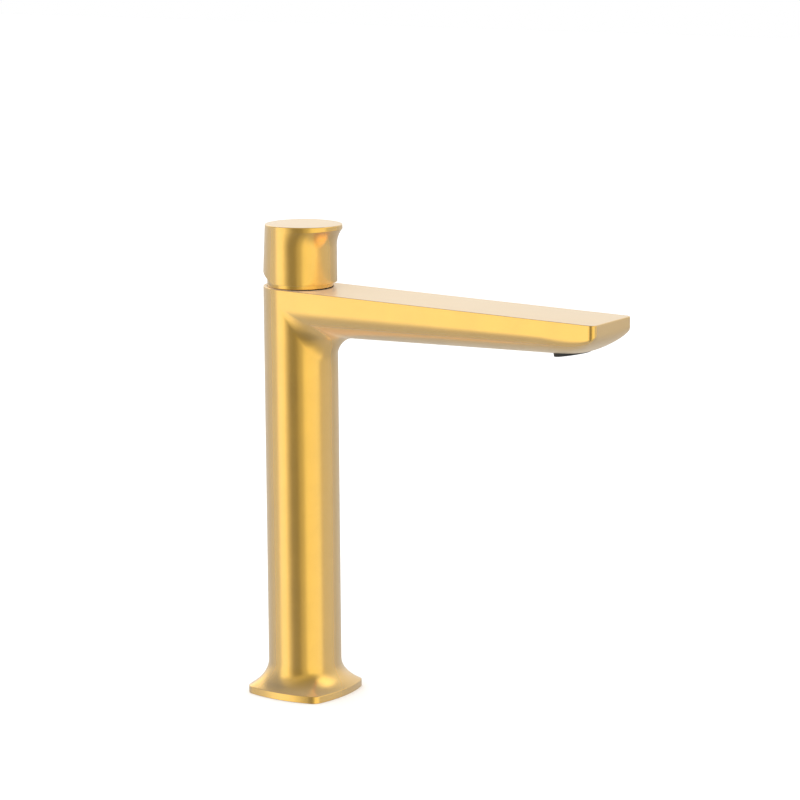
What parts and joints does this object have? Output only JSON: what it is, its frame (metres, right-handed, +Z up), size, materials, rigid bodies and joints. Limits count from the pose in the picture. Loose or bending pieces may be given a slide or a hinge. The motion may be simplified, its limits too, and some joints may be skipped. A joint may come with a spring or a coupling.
{
  "type": "basin mixer",
  "caption": "Tall single lever basin mixer with a flared square foot, a round column, a flat-topped level spout with a rounded underside, and a lever on top.",
  "frame": {"origin": "on the deck, on the axis of the column", "axes": "+Z up along the column, -Y along the spout towards its tip, +X across the spout"},
  "size_m": [0.061, 0.252, 0.298],
  "materials": {
    "brushed_gold": "satin brushed gold plating on cast brass",
    "raw_brass": "turned brass",
    "black_rubber": "moulded",
    "white_plastic": "moulded",
    "cream_plastic": "moulded",
    "black_plastic": "moulded",
    "grey_plastic": "moulded",
    "ceramic": "lapped",
    "steel": "turned",
    "mesh": "punched"
  },
  "bodies": {
    "fixed": {"body": "brushed_gold", "base_gasket": "black_rubber", "cartridge_base": "white_plastic", "cartridge_seal": "black_rubber", "port_seals": "black_rubber", "fixed_disc": "ceramic", "cartridge_housing": "white_plastic", "retaining_nut": "raw_brass", "dome": "brushed_gold", "aerator_housing": "black_plastic", "aerator_screen": "mesh", "flow_regulator": "grey_plastic", "aerator_seal": "black_rubber"},
    "swivel": {"swivel_guide": "white_plastic", "pivot_pin": "steel", "guide_seal": "black_rubber"},
    "slider": {"disc_carrier": "cream_plastic", "moving_disc": "ceramic"},
    "handle": {"lever": "brushed_gold", "spindle": "raw_brass", "grub_screw": "steel", "screw_plug": "brushed_gold"}
  },
  "joints": [
    {"name": "temperature_turn", "type": "hinge", "parent": "fixed", "child": "swivel", "pos_m": [0, 0, 0.2635], "axis": [0, 0, 1], "range_deg": [-50, 50]},
    {"name": "flow_lift", "type": "hinge", "parent": "swivel", "child": "handle", "pos_m": [0, 0, 0.2635], "axis": [-1, 0, 0], "range_deg": [0, 25]},
    {"name": "disc_slide", "type": "slide", "parent": "swivel", "child": "slider", "axis": [0, -1, 0], "range_m": [0, 0.004]}
  ],
  "couplings": [
    {"joint": "disc_slide", "follows": "flow_lift", "m_per_rad": 0.0091}
  ]
}
